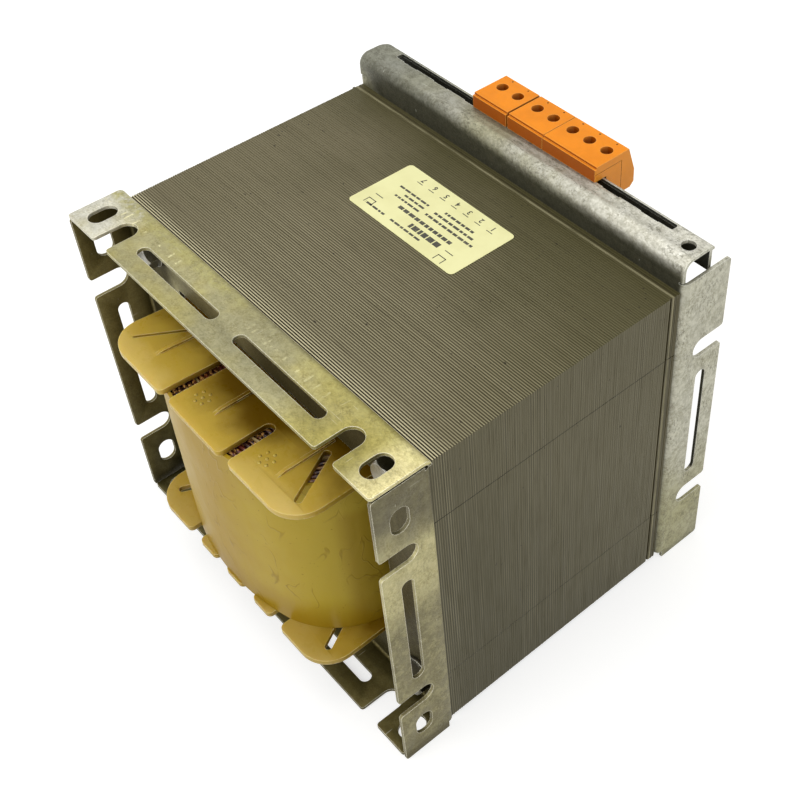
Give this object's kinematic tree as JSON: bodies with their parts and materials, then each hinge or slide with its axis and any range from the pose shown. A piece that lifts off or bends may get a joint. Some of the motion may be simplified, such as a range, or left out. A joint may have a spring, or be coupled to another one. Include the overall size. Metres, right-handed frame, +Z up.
{
  "type": "chassis mount transformer",
  "caption": "Chassis mount transformer: laminated steel core with a wound bobbin, slotted folded end frames and a row of screw terminals on a channel.",
  "frame": {"origin": "middle of the footprint, on the plane that the lower flanges of both frames stand on", "axes": "+X along the wide side of the core, +Y through the stack to the terminal side, +Z up"},
  "size_m": [0.196, 0.1948, 0.1832],
  "materials": {
    "electrical_steel": "varnished sheet edges",
    "amber_nylon": "translucent gloss",
    "wrap_tape": "varnished paper wrap",
    "enamelled_copper": "enamelled wire in varnish",
    "passivated_sheet": "yellow passivated zinc",
    "galvanised_sheet": "galvanised, mottled",
    "zinc_plated_steel": "bright zinc",
    "sleeve_plastic": "plain",
    "orange_plastic": "glossy",
    "lead_sleeving": "glossy sleeving",
    "label_film": "satin film"
  },
  "bodies": {
    "root": {"e_laminations": "electrical_steel", "i_laminations": "electrical_steel", "bobbin": "amber_nylon", "coil_outer_wrap": "wrap_tape", "secondary_winding": "enamelled_copper", "interwinding_insulation": "wrap_tape", "primary_winding": "enamelled_copper", "front_plate": "passivated_sheet", "front_left_flange": "passivated_sheet", "front_right_flange": "passivated_sheet", "front_lower_flange": "passivated_sheet", "front_upper_flange": "passivated_sheet", "rear_plate": "galvanised_sheet", "rear_left_flange": "galvanised_sheet", "rear_right_flange": "galvanised_sheet", "rear_lower_flange": "galvanised_sheet", "terminal_channel": "galvanised_sheet", "tie_bolts": "zinc_plated_steel", "tie_nuts": "zinc_plated_steel", "tie_washers": "zinc_plated_steel", "bolt_sleeves": "sleeve_plastic", "terminal_block_left": "orange_plastic", "terminal_block_middle": "orange_plastic", "terminal_block_right": "orange_plastic", "terminal_clamps": "zinc_plated_steel", "terminal_screws": "zinc_plated_steel", "winding_lead_1": "lead_sleeving", "winding_lead_2": "lead_sleeving", "winding_lead_3": "lead_sleeving", "winding_lead_4": "lead_sleeving", "winding_lead_5": "lead_sleeving", "winding_lead_6": "lead_sleeving", "winding_lead_7": "lead_sleeving", "rating_label": "label_film"}
  },
  "joints": []
}
